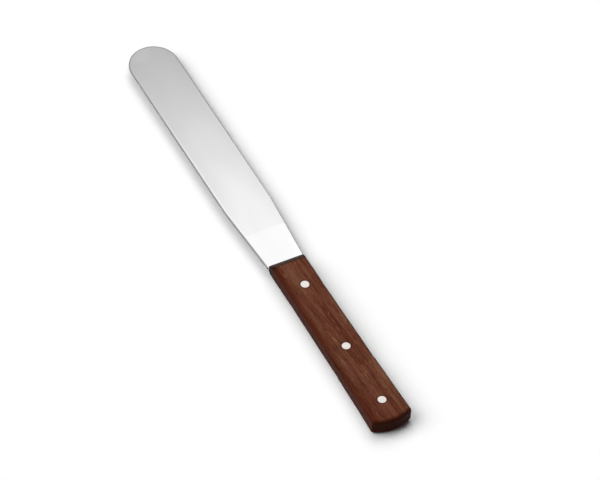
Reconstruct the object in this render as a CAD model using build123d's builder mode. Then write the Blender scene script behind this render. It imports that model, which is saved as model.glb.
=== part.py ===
# Lab spatula: a flexible steel blade whose full tang is pinned between two wooden scales.
#
# Millimetres, +Z up. The spatula lies on its lower scale, with the tip towards -X and the butt
# towards +X. The origin is the middle of the handle's length, on the surface that it rests on.

import os

from build123d import *

# Steel strip
blade_length = 152.4
blade_width = 25.4
taper_length = 40.5
shoulder = 0.8
taper_blend_radius = 200.0
steel_thickness = 1.2
tip_thickness = 0.45
grind_length = 130.0
blade_edge_radius = 0.15

# Handle
handle_length = 113.8
front_width = 18.4
butt_width = 21.7
butt_bow = 2.9
butt_corner_radius = 1.0
scale_thickness = 4.1
nose_length = 3.8
nose_drop = 3.2
nose_blend_radius = 4.0
edge_radius = 2.2

# Pins, placed from the front, the middle and the butt of the handle
pin_diameter = 4.7
front_pin_inset = 19.8
middle_pin_offset = 6.1
butt_pin_inset = 13.4
pin_clearance = 0.02
pin_chamfer = 0.2

# Places and heights that follow from those sizes
front = -handle_length / 2
butt = handle_length / 2
butt_corner = butt - butt_bow
nose_end = front + nose_length
taper_start = front - taper_length
tip = front - blade_length
tip_centre = tip + blade_width / 2
root_width = front_width + 2 * shoulder
tang_bottom = scale_thickness
tang_top = scale_thickness + steel_thickness
tang_middle = scale_thickness + steel_thickness / 2
handle_thickness = 2 * scale_thickness + steel_thickness
pin_places = [(front + front_pin_inset, 0), (middle_pin_offset, 0), (butt - butt_pin_inset, 0)]
hole_radius = pin_diameter / 2 + pin_clearance

# Outline of the handle: parallel behind the blade, with a slow flare to a bowed butt
with BuildSketch() as handle_outline:
    with BuildLine():
        TangentArc((front, front_width / 2), (butt_corner, butt_width / 2), tangent=(1, 0))
        mirror(about=Plane.XZ)
        Line((front, front_width / 2), (front, -front_width / 2))
        ThreePointArc((butt_corner, butt_width / 2), (butt, 0), (butt_corner, -butt_width / 2))
    make_face()
    fillet(vertices().group_by(Axis.X)[-1], radius=butt_corner_radius)

# Outline of the strip: round tip, parallel blade, taper to a root just wider than the handle,
# and the tang behind it, which fills the handle's outline
with BuildSketch() as strip_outline:
    with BuildLine():
        Polyline(
            (tip_centre, blade_width / 2),
            (taper_start, blade_width / 2),
            (front, root_width / 2),
            (front, -root_width / 2),
            (taper_start, -blade_width / 2),
            (tip_centre, -blade_width / 2),
        )
        ThreePointArc((tip_centre, blade_width / 2), (tip, 0), (tip_centre, -blade_width / 2))
    make_face()
    fillet(vertices().group_by(Axis.X)[1], radius=taper_blend_radius)
    add(handle_outline.sketch)

# Blade and tang: one strip, ground thinner on both faces from a line across its root to the tip,
# with the rims of the blade eased
with BuildPart() as blade:
    with BuildSketch(Plane.XY.offset(tang_bottom)):
        add(strip_outline.sketch)
    extrude(amount=steel_thickness)
    with BuildSketch(Plane.XZ):
        with BuildLine():
            Polyline(
                (tip, tang_middle + tip_thickness / 2),
                (tip + grind_length, tang_top),
                (butt, tang_top),
                (butt, tang_bottom),
                (tip + grind_length, tang_bottom),
                (tip, tang_middle - tip_thickness / 2),
                close=True,
            )
        make_face()
    extrude(amount=blade_width, both=True, mode=Mode.INTERSECT)
    blade_edges = edges().filter_by(lambda edge: edge.center().X < front)
    rims = blade_edges.filter_by(lambda edge: edge.bounding_box().size.X > blade_edge_radius)
    fillet(rims, radius=blade_edge_radius)
    with Locations(*pin_places):
        Hole(radius=hole_radius)

# Upper scale: rounded over along both sides and round the butt, then bevelled down at the front
# to a low end face, with the bevel blended into the top
with BuildPart() as upper_scale:
    with BuildSketch(Plane.XY.offset(tang_top)):
        add(handle_outline.sketch)
    extrude(amount=scale_thickness)
    top_edges = faces().sort_by(Axis.Z)[-1].edges()
    fillet(top_edges - top_edges.filter_by(Axis.Y), radius=edge_radius)
    with BuildSketch(Plane.XZ):
        with BuildLine():
            Polyline(
                (nose_end, handle_thickness),
                (front, handle_thickness - nose_drop),
                (front, tang_top),
                (butt, tang_top),
                (butt, handle_thickness),
                close=True,
            )
        make_face()
        fillet(vertices().sort_by_distance((nose_end, handle_thickness))[0], radius=nose_blend_radius)
    extrude(amount=butt_width, both=True, mode=Mode.INTERSECT)
    with Locations(*pin_places):
        Hole(radius=hole_radius)

# Lower scale: the upper one turned over about the middle of the tang
with BuildPart() as lower_scale:
    mirror(upper_scale.part, about=Plane.XY.offset(tang_middle))

# Pins: equal straight pins through both scales and the tang, chamfered and flush with the wood
with BuildPart() as handle_pins:
    with BuildSketch():
        with Locations(*pin_places):
            Circle(radius=pin_diameter / 2)
    extrude(amount=handle_thickness)
    chamfer(edges().filter_by(GeomType.CIRCLE), length=pin_chamfer)

blade.part.label = "blade"
upper_scale.part.label = "upper_scale"
lower_scale.part.label = "lower_scale"
handle_pins.part.label = "handle_pins"

os.makedirs("parts", exist_ok=True)
for piece in (blade, upper_scale, lower_scale, handle_pins):
    export_step(piece.part, f"parts/{piece.part.label}.step")
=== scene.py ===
# Looks of the lab spatula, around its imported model: a satin steel blade that is ground thinner
# towards its tip, scales of oiled reddish hardwood, and pale metal pins, on a white table.
# All sizes are in metres, in the model's own frame: tip towards -X, butt towards +X, +Z up.

import math

import bpy
from bpy.props import FloatProperty, FloatVectorProperty, PointerProperty
from bpy.types import Operator, Panel, PropertyGroup
from mathutils import Matrix, Vector


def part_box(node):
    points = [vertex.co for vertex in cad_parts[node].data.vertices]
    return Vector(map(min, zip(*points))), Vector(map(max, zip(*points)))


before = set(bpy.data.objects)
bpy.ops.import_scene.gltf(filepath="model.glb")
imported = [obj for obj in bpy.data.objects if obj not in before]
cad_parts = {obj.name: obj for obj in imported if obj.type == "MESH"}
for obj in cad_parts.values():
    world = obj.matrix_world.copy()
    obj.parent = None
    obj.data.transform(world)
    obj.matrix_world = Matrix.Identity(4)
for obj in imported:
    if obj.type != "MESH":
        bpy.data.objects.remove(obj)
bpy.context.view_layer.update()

bl_info = {
    "name": "Lab Spatula",
    "version": (1, 0, 0),
    "blender": (4, 5, 0),
    "location": "3D View > Sidebar > Spatula",
    "description": "Dresses a lab spatula in steel and wood, and sets it on a white table",
    "category": "Object",
}

MM = 0.001
PHOTO_WIDTH = 600
SENSOR_WIDTH = 36.0

handle_low, handle_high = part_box("upper_scale")
strip_low, strip_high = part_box("blade")
HANDLE_FRONT = handle_low.x
HANDLE_BUTT = handle_high.x
HANDLE_TOP = handle_high.z
TIP = strip_low.x

# Sizes within the outlines, which the frame's boxes don't give
TAPER_LENGTH = 40.5 * MM
ROOT_HALF_WIDTH = 10.0 * MM
FRONT_HALF_WIDTH = 9.2 * MM
BUTT_BOW = 2.9 * MM
NOSE_LENGTH = 3.8 * MM

# Points of the pins that lie further apart than this along X are on different pins
PIN_GAP = 5 * MM

# Places in the plank that the two scales are cut from, in metres along X, Y and Z
UPPER_CUT = (0.0, 0.0, 0.0)
LOWER_CUT = (0.31, 0.17, 0.05)

# Middle of the painted highlight at the tip, along X and Y
TIP_HIGHLIGHT_X = TIP + 3 * MM
TIP_HIGHLIGHT_Y = -4 * MM

# Size and place of the card that the metal mirrors, which hangs beyond the tip
CARD_SIZE = (0.48, 0.50, 1.0)
CARD_PLACE = (TIP - 0.26, 0.155, 0.35)


class Field:
    """The output of a shader node, with arithmetic on it."""

    def __init__(self, nodes, socket):
        self.nodes = nodes
        self.socket = socket

    def math(self, operation, *values):
        """The node that does this operation on these values, in their order."""
        return self.nodes.add("ShaderNodeMath", {"operation": operation}, dict(enumerate(values)))

    def __add__(self, other):
        return self.math("ADD", self, other)

    def __sub__(self, other):
        return self.math("SUBTRACT", self, other)

    def __rsub__(self, other):
        return self.math("SUBTRACT", other, self)

    def __mul__(self, other):
        return self.math("MULTIPLY", self, other)

    def __truediv__(self, other):
        return self.math("DIVIDE", self, other)

    def __pow__(self, other):
        return self.math("POWER", self, other)

    def __abs__(self):
        return self.math("ABSOLUTE", self)

    __radd__ = __add__
    __rmul__ = __mul__

    def least(self, other):
        """The smaller of this and the other."""
        return self.math("MINIMUM", self, other)

    def most(self, other):
        """The larger of this and the other."""
        return self.math("MAXIMUM", self, other)

    def rise(self, low, high):
        """0 where this is below low, 1 where it is above high, and a soft slope in between."""
        return self.nodes.add(
            "ShaderNodeMapRange",
            {"interpolation_type": "SMOOTHSTEP"},
            {"Value": self, "From Min": low, "From Max": high},
        )

    def fall(self, low, high):
        """1 where this is below low, 0 where it is above high, and a soft slope in between."""
        return 1.0 - self.rise(low, high)


class Nodes:
    """The shader nodes of a material or a world, which start out empty."""

    def __init__(self, owner):
        owner.use_nodes = True
        self.tree = owner.node_tree
        self.tree.nodes.clear()

    def add(self, kind, settings=None, inputs=None, output=0):
        """One node of this kind. The settings come first, then the sockets' values or links."""
        made = self.tree.nodes.new(kind)
        for name, value in (settings or {}).items():
            setattr(made, name, value)
        for name, value in (inputs or {}).items():
            if isinstance(value, Field):
                self.tree.links.new(value.socket, made.inputs[name])
            else:
                made.inputs[name].default_value = value
        return Field(self, made.outputs[output]) if made.outputs else None

    def parts(self, vector):
        """The X, Y and Z of a vector."""
        split = "ShaderNodeSeparateXYZ"
        return [self.add(split, inputs={0: vector}, output=axis) for axis in "XYZ"]

    def grey(self, value):
        """A grey of this value, as a colour."""
        return self.add("ShaderNodeCombineColor", inputs={0: value, 1: value, 2: value})

    def mix(self, factor, first, second, blend="MIX"):
        """The first colour where the factor is 0, and the second where it is 1."""
        return self.add(
            "ShaderNodeMix",
            {"data_type": "RGBA", "blend_type": blend},
            {0: factor, 6: first, 7: second},
            output=2,
        )

    def seen_or_mirrored(self):
        """1 for what is seen, mirrored or looked through, 0 for light that falls on a surface."""
        seen = self.add("ShaderNodeLightPath", output="Is Camera Ray")
        mirrored = self.add("ShaderNodeLightPath", output="Is Glossy Ray")
        through = self.add("ShaderNodeLightPath", output="Is Transmission Ray")
        scattered = self.add("ShaderNodeLightPath", output="Diffuse Depth")
        return seen.most(mirrored.most(through) - scattered)


class Surface(Nodes):
    """A material on Object coordinates."""

    def __init__(self, name):
        self.material = bpy.data.materials.new(name)
        super().__init__(self.material)
        self.place = self.add("ShaderNodeTexCoord", output="Object")
        self.x, self.y, self.z = self.parts(self.place)

    def stretched(self, size, shift, slant):
        """Object coordinates moved by shift, turned about Z by slant, and counted in cells."""
        return self.add(
            "ShaderNodeMapping",
            {"vector_type": "TEXTURE"},
            {
                "Vector": self.place,
                "Location": shift,
                "Rotation": (0.0, 0.0, slant),
                "Scale": size,
            },
        )

    def noise(
        self, size, shift=(0.0, 0.0, 0.0), slant=0.0, detail=2.0, roughness=0.5, distortion=0.0
    ):
        """Smooth noise from 0 to 1, with grains of about this size in metres along X, Y and Z."""
        return self.add(
            "ShaderNodeTexNoise",
            inputs={
                "Vector": self.stretched(size, shift, slant),
                "Scale": 1.0,
                "Detail": detail,
                "Roughness": roughness,
                "Distortion": distortion,
            },
            output="Fac",
        )

    def bump(self, height, strength, distance):
        """The surface's direction where a height of 1 raises it by this distance in metres."""
        return self.add(
            "ShaderNodeBump",
            inputs={"Height": height, "Strength": strength, "Distance": distance},
        )

    def finish(self, **sockets):
        """Ends the material in one shader. A socket's name is written with _ for a space."""
        inputs = {name.replace("_", " "): value for name, value in sockets.items()}
        shader = self.add("ShaderNodeBsdfPrincipled", inputs=inputs)
        self.add("ShaderNodeOutputMaterial", inputs={"Surface": shader})
        return self.material


def opaque(colour):
    """A colour with its alpha."""
    return (*colour, 1.0)


def dress(node, material):
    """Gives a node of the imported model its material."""
    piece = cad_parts[node]
    piece.data.materials.clear()
    piece.data.materials.append(material)


def pin_middles():
    """The place along X of each pin's middle, from the pins' own points."""
    places = sorted(point.co.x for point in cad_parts["handle_pins"].data.vertices)
    starts = [0] + [i for i in range(1, len(places)) if places[i] - places[i - 1] > PIN_GAP]
    ends = starts[1:] + [len(places)]
    return [(places[first] + places[last - 1]) / 2 for first, last in zip(starts, ends)]


def pin_radius():
    """Half the width of the pins."""
    low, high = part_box("handle_pins")
    return (high.y - low.y) / 2


def distance_to_pins(surface):
    """How far a point is from the axis of the nearest pin."""
    nearest = None
    for middle in pin_middles():
        away = ((surface.x - middle) ** 2 + surface.y ** 2) ** 0.5
        nearest = away if nearest is None else nearest.least(away)
    return nearest


def inside_blade(surface):
    """How far inside the blade's outline a point is: a round tip, and a taper to the root."""
    half_width = strip_high.y
    widening = (HANDLE_FRONT - surface.x) / TAPER_LENGTH
    taper = ROOT_HALF_WIDTH + (half_width - ROOT_HALF_WIDTH) * widening
    ahead = (surface.x - (TIP + half_width)).least(0.0)
    off_centre = (ahead ** 2 + surface.y ** 2) ** 0.5
    return taper.least(half_width) - off_centre


def inside_handle(surface):
    """How far inside the handle's outline a point is. It flares a little, to a bowed butt."""
    run = (surface.x - HANDLE_FRONT) / (HANDLE_BUTT - BUTT_BOW - HANDLE_FRONT)
    half_width = FRONT_HALF_WIDTH + (handle_high.y - FRONT_HALF_WIDTH) * run ** 2
    end = HANDLE_BUTT - BUTT_BOW * (surface.y / handle_high.y) ** 2
    return (half_width - abs(surface.y)).least(end - surface.x)


class SpatulaBlade(PropertyGroup):
    ground_colour: FloatVectorProperty(
        name="Ground steel",
        description="Colour of the blade in front of the grind line",
        subtype="COLOR",
        default=(0.77, 0.77, 0.77),
        min=0.0,
        max=1.0,
    )
    root_colour: FloatVectorProperty(
        name="Root steel",
        description="Colour of the unground steel between the grind line and the handle",
        subtype="COLOR",
        default=(0.80, 0.80, 0.80),
        min=0.0,
        max=1.0,
    )
    # Darker tip: partly wear, partly painted shade in place of the dimmer reflection at the tip
    tip_wear_and_shade_colour: FloatVectorProperty(
        name="Worn tip",
        description="Colour of the duller, used end of the blade",
        subtype="COLOR",
        default=(0.66, 0.66, 0.66),
        min=0.0,
        max=1.0,
    )
    # Painted shade: the dark line all round the blade's outline, where its thin edge falls into
    # shade
    rim_shade_colour: FloatVectorProperty(
        name="Rim",
        description="Colour of the eased rim all round the blade",
        subtype="COLOR",
        default=(0.30, 0.30, 0.30),
        min=0.0,
        max=1.0,
    )
    # Painted highlight: the bright line inside the -Y rim, where the eased edge would catch the
    # light
    highlight_line_colour: FloatVectorProperty(
        name="Burnished edge",
        description="Colour of the bright line that use has left inside the -Y rim",
        subtype="COLOR",
        default=(0.95, 0.95, 0.95),
        min=0.0,
        max=1.0,
    )
    # Painted shade: the tang's edge between the scales is dark brown and dull, as it lies in shade
    tang_shade_colour: FloatVectorProperty(
        name="Tang edge",
        description="Colour of the tang's edge between the scales, under a film of wood finish",
        subtype="COLOR",
        default=(0.035, 0.016, 0.010),
        min=0.0,
        max=1.0,
    )
    grind_length: FloatProperty(
        name="Grind length",
        description="Length of the ground part of the blade, from the tip",
        subtype="DISTANCE",
        unit="LENGTH",
        default=130.0 * MM,
    )
    roughness: FloatProperty(
        name="Roughness",
        description="Roughness of the satin steel",
        subtype="FACTOR",
        default=0.3,
        min=0.0,
        max=1.0,
    )


class SpatulaWood(PropertyGroup):
    ground_colour: FloatVectorProperty(
        name="Wood",
        description="Main colour of the oiled hardwood",
        subtype="COLOR",
        default=(0.124, 0.037, 0.0195),
        min=0.0,
        max=1.0,
    )
    light_colour: FloatVectorProperty(
        name="Light streaks",
        description="Colour of the paler streaks along the grain",
        subtype="COLOR",
        default=(0.175, 0.072, 0.043),
        min=0.0,
        max=1.0,
    )
    dark_colour: FloatVectorProperty(
        name="Dark streaks",
        description="Colour of the darker streaks along the grain",
        subtype="COLOR",
        default=(0.074, 0.016, 0.009),
        min=0.0,
        max=1.0,
    )
    warm_colour: FloatVectorProperty(
        name="Warm bands",
        description="Colour of the broad bands of more orange wood",
        subtype="COLOR",
        default=(0.133, 0.044, 0.020),
        min=0.0,
        max=1.0,
    )
    pale_colour: FloatVectorProperty(
        name="Pale lines",
        description="Colour of the few thin pale lines along the grain",
        subtype="COLOR",
        default=(0.300, 0.150, 0.070),
        min=0.0,
        max=1.0,
    )
    pore_colour: FloatVectorProperty(
        name="Pores",
        description="Colour inside the open pores",
        subtype="COLOR",
        default=(0.030, 0.010, 0.006),
        min=0.0,
        max=1.0,
    )
    # Painted shade and end grain: the dark bevel at the front of the scales
    end_grain_and_shade_colour: FloatVectorProperty(
        name="Grime",
        description="Colour of the dirt in the cut fibres of the bevel against the blade",
        subtype="COLOR",
        default=(0.015, 0.010, 0.008),
        min=0.0,
        max=1.0,
    )
    # Painted shade: the darker -Y side and the rounded rim of the handle
    edge_shade_colour: FloatVectorProperty(
        name="Edge",
        description="Colour of the rim, and of the darker wood along the -Y side",
        subtype="COLOR",
        default=(0.060, 0.010, 0.004),
        min=0.0,
        max=1.0,
    )
    slant: FloatProperty(
        name="Slant of the grain",
        description="Angle between the grain and the length of the handle",
        subtype="ANGLE",
        unit="ROTATION",
        default=math.radians(3.0),
    )
    roughness: FloatProperty(
        name="Roughness",
        description="Roughness of the oiled wood",
        subtype="FACTOR",
        default=0.48,
        min=0.0,
        max=1.0,
    )


class SpatulaPins(PropertyGroup):
    colour: FloatVectorProperty(
        name="Pin metal",
        description="Colour of the pins' pale metal",
        subtype="COLOR",
        default=(0.73, 0.68, 0.64),
        min=0.0,
        max=1.0,
    )
    roughness: FloatProperty(
        name="Roughness",
        description="Roughness of the pins' ends",
        subtype="FACTOR",
        default=0.34,
        min=0.0,
        max=1.0,
    )


class SpatulaStage(PropertyGroup):
    azimuth: FloatProperty(
        name="Azimuth",
        description="Turn of the camera round the spatula, from looking along +Y",
        subtype="ANGLE",
        unit="ROTATION",
        default=math.radians(58.635),
    )
    elevation: FloatProperty(
        name="Elevation",
        description="Height of the camera above the table, as an angle",
        subtype="ANGLE",
        unit="ROTATION",
        default=math.radians(49.3),
    )
    roll: FloatProperty(
        name="Roll",
        description="Turn of the camera about its own line of sight",
        subtype="ANGLE",
        unit="ROTATION",
        default=math.radians(5.0),
    )
    distance: FloatProperty(
        name="Distance",
        description="Distance from the camera to the point that it looks at",
        subtype="DISTANCE",
        unit="LENGTH",
        default=8.0,
    )
    pixels_per_mm: FloatProperty(
        name="Pixels per millimetre",
        description="Scale of the picture at the point that the camera looks at",
        default=2.05,
    )
    look_ahead: FloatProperty(
        name="Look ahead",
        description="How far in front of the handle the camera's point lies",
        subtype="DISTANCE",
        unit="LENGTH",
        default=9.7 * MM,
    )
    look_aside: FloatProperty(
        name="Look aside",
        description="How far to the +Y side of the spatula the camera's point lies",
        subtype="DISTANCE",
        unit="LENGTH",
        default=12.98 * MM,
    )
    floor_size: FloatProperty(
        name="Floor size",
        description="Length of each side of the white table",
        subtype="DISTANCE",
        unit="LENGTH",
        default=6.0,
    )
    bounce: FloatProperty(
        name="Bounce",
        description="How much of its light the table throws back at the spatula",
        subtype="FACTOR",
        default=0.3,
        min=0.0,
        max=1.0,
    )
    near_lamp: FloatVectorProperty(
        name="Near lamp",
        description="Direction from the spatula towards the soft lamp on its -Y side",
        subtype="DIRECTION",
        default=(-0.28, -0.64, 0.72),
    )
    near_strength: FloatProperty(
        name="Near lamp's strength",
        description="Light of the near lamp on a surface that faces it, in watts per square metre",
        default=2.3,
    )
    far_lamp: FloatVectorProperty(
        name="Far lamp",
        description="Direction from the spatula towards the soft lamp beyond its tip",
        subtype="DIRECTION",
        default=(-0.52, 0.25, 0.81),
    )
    far_strength: FloatProperty(
        name="Far lamp's strength",
        description="Light of the far lamp on a surface that faces it, in watts per square metre",
        default=1.6,
    )
    lamp_width: FloatProperty(
        name="Lamp width",
        description="How wide each lamp looks from the spatula, as an angle",
        subtype="ANGLE",
        unit="ROTATION",
        default=math.radians(49.0),
    )
    even_light: FloatProperty(
        name="Even light",
        description="Strength of the light that comes from everywhere",
        default=0.07,
    )
    card_low: FloatProperty(
        name="Card's dim end",
        description="Strength of the outer end of the card, which the tip of the blade mirrors",
        default=0.38,
    )
    card_high: FloatProperty(
        name="Card's bright end",
        description="Strength of the near end of the card, which the root of the blade mirrors",
        default=1.85,
    )
    card_shift: FloatProperty(
        name="Card shift",
        description="How far beyond the tip the card starts to brighten towards the blade",
        subtype="DISTANCE",
        unit="LENGTH",
        default=0.30,
    )
    card_run: FloatProperty(
        name="Card run",
        description="Length over which the card brightens",
        subtype="DISTANCE",
        unit="LENGTH",
        default=0.27,
    )


class SPATULA_OT_dress_blade(Operator):
    """Give the blade its satin steel, and the tang inside the handle a dark, dull painted shade"""

    bl_idname = "spatula.dress_blade"
    bl_label = "Dress Blade"

    def execute(self, context):
        look = context.scene.spatula_blade
        steel = Surface("satin_steel")
        grind_line = TIP + look.grind_length

        # Soft cloudiness of a hand-finished strip, the fine lines left by its belt, and scuffs
        cloud = steel.noise((40 * MM, 14 * MM, 14 * MM), detail=1.0)
        lines = steel.noise((24 * MM, 0.16 * MM, 0.16 * MM), detail=3.0, roughness=0.6)
        scuffs = steel.noise((5 * MM, 0.5 * MM, 5 * MM), shift=(0.3, 0.1, 0.0), detail=2.0)

        # The tip darkens: partly wear, partly painted shade in place of its dimmer reflection
        along = (steel.x - TIP) / look.grind_length
        past_tip_wear_and_shade = along.rise(-0.1, 0.8)
        colour = steel.mix(past_tip_wear_and_shade, opaque(look.tip_wear_and_shade_colour), opaque(look.ground_colour))
        unground = steel.x.rise(grind_line - 0.8 * MM, grind_line + 0.8 * MM)
        colour = steel.mix(unground, colour, opaque(look.root_colour))
        off_middle = abs(steel.y) / strip_high.y
        side_shade = 0.05 * off_middle ** 2 * (1.0 - unground)
        shade = 0.92 + 0.16 * cloud + 0.04 * (lines - 0.5) - side_shade
        colour = steel.mix(1.0, colour, steel.grey(shade), "MULTIPLY")

        # A painted highlight at the tip, a painted highlight line inside the -Y rim, and painted
        # shade on the rim all round
        from_tip_highlight = ((steel.x - TIP_HIGHLIGHT_X) ** 2 + (steel.y - TIP_HIGHLIGHT_Y) ** 2) ** 0.5
        tip_highlight = (from_tip_highlight + 5 * MM * (cloud - 0.5)).fall(3 * MM, 8 * MM)
        colour = steel.mix(tip_highlight * 0.35, colour, opaque(look.ground_colour))
        inward = inside_blade(steel)
        # Painted highlight along the inside of the -Y rim of the ground steel
        highlight_line = inward.rise(0.5 * MM, 0.8 * MM) * inward.fall(0.9 * MM, 1.4 * MM)
        one_side = steel.y.fall(-2 * MM, 0.0) * along.rise(0.2, 0.5) * (1.0 - unground)
        colour = steel.mix(highlight_line * one_side * 0.7, colour, opaque(look.highlight_line_colour))
        # Painted shade in a thin band all round the blade's outline
        colour = steel.mix(inward.fall(0.3 * MM, 0.7 * MM), colour, opaque(look.rim_shade_colour))
        # Painted shade: the steel inside the handle, whose edge shows between the scales, is dark
        # brown and dull
        in_handle = steel.x.rise(HANDLE_FRONT + 0.1 * MM, HANDLE_FRONT + 0.6 * MM)
        colour = steel.mix(in_handle, colour, opaque(look.tang_shade_colour))

        roughness = look.roughness + 0.08 * (lines - 0.5) + 0.05 * scuffs + 0.3 * in_handle
        material = steel.finish(
            Base_Color=colour,
            Metallic=1.0 - 0.8 * in_handle,
            Specular_IOR_Level=0.05,
            Roughness=roughness,
            Normal=steel.bump(lines, 0.12, 0.004 * MM),
        )
        dress("blade", material)
        return {"FINISHED"}


class SPATULA_OT_dress_scales(Operator):
    """Give each wooden scale its own run of grain"""

    bl_idname = "spatula.dress_scales"
    bl_label = "Dress Scales"

    def execute(self, context):
        dress("upper_scale", self.wood(context, "upper_wood", UPPER_CUT))
        dress("lower_scale", self.wood(context, "lower_wood", LOWER_CUT))
        return {"FINISHED"}

    @staticmethod
    def wood(context, name, shift):
        """Oiled hardwood with its fibres along X. A shift cuts it from elsewhere in the plank."""
        look = context.scene.spatula_wood
        slant = look.slant
        wood = Surface(name)

        # Broad bands of colour, growth streaks, fine fibres, a few thin veins, and open pores
        bands = wood.noise((55 * MM, 6 * MM, 6 * MM), shift, slant, detail=2.0, distortion=0.4)
        streaks = wood.noise(
            (26 * MM, 1.5 * MM, 1.5 * MM), shift, slant, detail=3.0, roughness=0.6, distortion=0.6
        )
        fibres = wood.noise(
            (8 * MM, 0.34 * MM, 0.34 * MM), shift, slant, detail=3.0, roughness=0.65
        )
        veins = wood.noise(
            (30 * MM, 2.6 * MM, 2.6 * MM), shift, 2 * slant, detail=2.0, distortion=0.5
        )
        pores = wood.noise((3.6 * MM, 0.30 * MM, 0.30 * MM), shift, slant, detail=1.0)

        light = (0.45 * bands + 0.55 * streaks).rise(0.48, 0.62)
        dark = (0.35 * bands + 0.65 * streaks).fall(0.36, 0.50)
        warm = bands.rise(0.4, 0.65)
        colour = wood.mix(warm, opaque(look.ground_colour), opaque(look.warm_colour))
        colour = wood.mix(light * 0.8, colour, opaque(look.light_colour))
        colour = wood.mix(dark * 0.85, colour, opaque(look.dark_colour))
        colour = wood.mix(fibres.rise(0.5, 0.75) * 0.38, colour, opaque(look.light_colour))
        colour = wood.mix(fibres.fall(0.28, 0.48) * 0.42, colour, opaque(look.dark_colour))
        vein = abs(veins - 0.5).fall(0.004, 0.022)
        colour = wood.mix(vein * 0.55, colour, opaque(look.pore_colour))
        pale_line = abs(veins - 0.61).fall(0.001, 0.008)
        colour = wood.mix(pale_line * 0.7, colour, opaque(look.pale_colour))
        open_pores = pores.rise(0.60, 0.68)
        colour = wood.mix(open_pores * 0.7, colour, opaque(look.pore_colour))

        # Painted shade: the wood is darker towards its -Y side, and on the rounded rim
        shaded_side = (wood.y + 1.2 * MM * (bands - 0.5)).fall(-9.0 * MM, -5.0 * MM)
        rim = inside_handle(wood).fall(0.1 * MM, 1.65 * MM)
        colour = wood.mix((0.75 * shaded_side).most(0.85 * rim), colour, opaque(look.edge_shade_colour))

        # The bevel against the blade is dark, most of all against the blade: its cut end-grain
        # fibres, and painted shade
        cut_fibres = wood.noise((0.45 * MM, 0.4 * MM, 0.4 * MM), shift, detail=2.0, roughness=0.6)
        behind = wood.x - HANDLE_FRONT + 0.5 * MM * (streaks - 0.5)
        end_grain_and_shade = behind.fall(NOSE_LENGTH, 1.35 * NOSE_LENGTH)
        end_grain_and_shade = end_grain_and_shade * (0.84 + 0.14 * behind.fall(0.2 * NOSE_LENGTH, 0.8 * NOSE_LENGTH))
        end_grain_and_shade = end_grain_and_shade * (1.0 - cut_fibres.rise(0.45, 0.75) * 0.3)
        colour = wood.mix(end_grain_and_shade, colour, opaque(look.end_grain_and_shade_colour))
        round_pin = distance_to_pins(wood).fall(pin_radius() + 0.1 * MM, pin_radius() + 0.7 * MM)
        colour = wood.mix(round_pin * 0.6, colour, opaque(look.pore_colour))

        roughness = look.roughness + 0.12 * (streaks - 0.5) + 0.15 * open_pores
        height = 0.5 * fibres - open_pores
        return wood.finish(
            Base_Color=colour,
            Roughness=roughness,
            Specular_IOR_Level=0.03,
            Normal=wood.bump(height, 0.35, 0.03 * MM),
        )


class SPATULA_OT_dress_pins(Operator):
    """Give the pins their pale metal, scratched by the grinding that made them flush"""

    bl_idname = "spatula.dress_pins"
    bl_label = "Dress Pins"

    def execute(self, context):
        look = context.scene.spatula_pins
        metal = Surface("pale_pin_metal")
        scratches = metal.noise((4 * MM, 0.12 * MM, 4 * MM), detail=3.0, roughness=0.6)
        cloud = metal.noise((1.6 * MM, 1.6 * MM, 1.6 * MM), detail=1.0)
        away = distance_to_pins(metal)
        rim = away.rise(pin_radius() - 0.35 * MM, pin_radius() - 0.1 * MM)
        dull = tuple(0.45 * part for part in look.colour)
        colour = metal.mix(rim, opaque(look.colour), opaque(dull))
        material = metal.finish(
            Base_Color=colour,
            Metallic=1.0,
            Roughness=look.roughness + 0.12 * (scratches - 0.5) + 0.08 * cloud,
            Normal=metal.bump(scratches, 0.2, 0.006 * MM),
        )
        dress("handle_pins", material)
        return {"FINISHED"}


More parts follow.
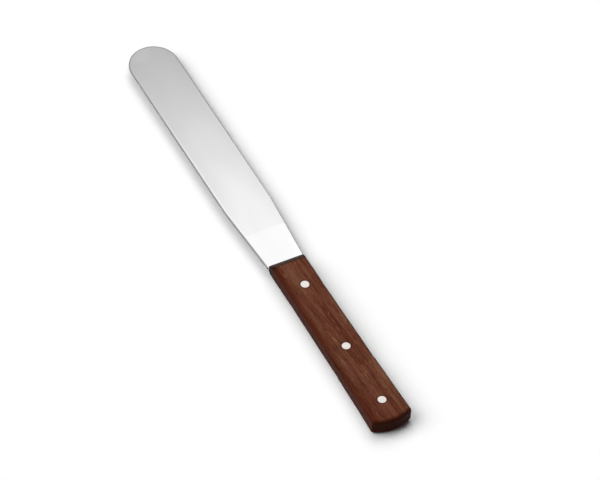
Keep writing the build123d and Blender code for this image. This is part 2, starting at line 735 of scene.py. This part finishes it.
class SPATULA_OT_set_stage(Operator):
    """Set the white table, the soft light and the camera"""

    bl_idname = "spatula.set_stage"
    bl_label = "Set Stage"

    def execute(self, context):
        look = context.scene.spatula_stage
        context.scene.view_settings.view_transform = "Standard"
        self.table(look)
        self.card(look)
        self.lamps(context, look)
        self.background(context, look)
        self.camera(context, look)
        return {"FINISHED"}

    @staticmethod
    def table(look):
        """A white table top under the spatula, which throws little light back at its sides."""
        bpy.ops.mesh.primitive_plane_add(size=look.floor_size)
        table = bpy.context.object
        table.name = "table_top"
        paper = Surface("white_table")
        colour = paper.mix(paper.seen_or_mirrored(), opaque([look.bounce] * 3), opaque([1.0] * 3))
        lit = paper.add("ShaderNodeBsdfDiffuse", inputs={"Color": colour})
        paper.add("ShaderNodeOutputMaterial", inputs={"Surface": lit})
        table.data.materials.append(paper.material)

    @staticmethod
    def card(look):
        """A bright card beyond the tip, which only the metal mirrors, and which dims outwards."""
        bpy.ops.mesh.primitive_plane_add(size=1.0, enter_editmode=True)
        bpy.ops.transform.resize(value=CARD_SIZE, center_override=(0.0, 0.0, 0.0))
        bpy.ops.transform.translate(value=CARD_PLACE)
        bpy.ops.object.mode_set(mode="OBJECT")
        card = bpy.context.object
        card.name = "light_card"
        glow = Surface("light_card")
        along = (glow.x - (TIP - look.card_shift)) / look.card_run
        dim = look.card_low / look.card_high
        level = glow.grey(dim + (1.0 - dim) * along.most(0.0).least(1.0))
        light = glow.add("ShaderNodeEmission", inputs={"Color": level, "Strength": look.card_high})
        glow.add("ShaderNodeOutputMaterial", inputs={"Surface": light})
        card.data.materials.append(glow.material)
        card.visible_camera = False
        card.visible_diffuse = False
        card.visible_transmission = False
        card.visible_shadow = False

    @staticmethod
    def lamps(context, look):
        """Two soft lamps over the blade. The metal mirrors the background and the card instead."""
        for name, towards, strength in (
            ("near_lamp", look.near_lamp, look.near_strength),
            ("far_lamp", look.far_lamp, look.far_strength),
        ):
            data = bpy.data.lights.new(name, "SUN")
            data.energy = strength
            data.angle = look.lamp_width
            lamp = bpy.data.objects.new(name, data)
            lamp.matrix_world = Vector(towards).to_track_quat("Z", "Y").to_matrix().to_4x4()
            lamp.visible_glossy = False
            context.scene.collection.objects.link(lamp)

    @staticmethod
    def background(context, look):
        """A little light from everywhere, and a background that looks plain white."""
        world = bpy.data.worlds.new("soft_light")
        context.scene.world = world
        sky = Nodes(world)
        white = sky.seen_or_mirrored()
        strength = look.even_light * (1.0 - white) + white
        background = sky.add(
            "ShaderNodeBackground", inputs={"Color": opaque([1.0] * 3), "Strength": strength}
        )
        sky.add("ShaderNodeOutputWorld", inputs={"Surface": background})

    @staticmethod
    def camera(context, look):
        """A long lens, which keeps the sides of the spatula parallel."""
        turn, tilt, roll = look.azimuth, look.elevation, look.roll
        level = Vector((math.cos(turn), math.sin(turn), 0.0))
        ahead = Vector((-math.sin(turn), math.cos(turn), 0.0))
        forward = ahead * math.cos(tilt) - Vector((0.0, 0.0, math.sin(tilt)))
        upward = ahead * math.sin(tilt) + Vector((0.0, 0.0, math.cos(tilt)))
        right = level * math.cos(roll) + upward * math.sin(roll)
        up = upward * math.cos(roll) - level * math.sin(roll)
        target = Vector((HANDLE_FRONT - look.look_ahead, look.look_aside, HANDLE_TOP / 2))
        turned = Matrix((right, up, -forward)).transposed().to_4x4()
        data = bpy.data.cameras.new("camera")
        data.sensor_width = SENSOR_WIDTH
        data.lens = SENSOR_WIDTH * look.distance * look.pixels_per_mm / MM / PHOTO_WIDTH
        data.clip_end = 2 * look.distance
        camera = bpy.data.objects.new("camera", data)
        camera.matrix_world = Matrix.Translation(target - forward * look.distance) @ turned
        context.scene.collection.objects.link(camera)
        context.scene.camera = camera


class SPATULA_PT_spatula(Panel):
    """Sizes and colours of the spatula, and the steps that dress it"""

    bl_label = "Lab Spatula"
    bl_idname = "SPATULA_PT_spatula"
    bl_space_type = "VIEW_3D"
    bl_region_type = "UI"
    bl_category = "Spatula"

    def draw(self, context):
        for name, steps in STEPS.items():
            box = self.layout.box()
            group = getattr(context.scene, name)
            for setting in group.bl_rna.properties.keys():
                if setting not in {"rna_type", "name"}:
                    box.prop(group, setting)
            box.operator(steps.bl_idname)


GROUPS = {
    "spatula_blade": SpatulaBlade,
    "spatula_wood": SpatulaWood,
    "spatula_pins": SpatulaPins,
    "spatula_stage": SpatulaStage,
}
STEPS = {
    "spatula_blade": SPATULA_OT_dress_blade,
    "spatula_wood": SPATULA_OT_dress_scales,
    "spatula_pins": SPATULA_OT_dress_pins,
    "spatula_stage": SPATULA_OT_set_stage,
}
CLASSES = (*GROUPS.values(), *STEPS.values(), SPATULA_PT_spatula)


def register():
    for cls in CLASSES:
        bpy.utils.register_class(cls)
    for name, group in GROUPS.items():
        setattr(bpy.types.Scene, name, PointerProperty(type=group))


def unregister():
    for name in GROUPS:
        delattr(bpy.types.Scene, name)
    for cls in reversed(CLASSES):
        bpy.utils.unregister_class(cls)


def main():
    register()
    bpy.ops.spatula.dress_blade()
    bpy.ops.spatula.dress_scales()
    bpy.ops.spatula.dress_pins()
    bpy.ops.spatula.set_stage()


if __name__ == "__main__":
    main()
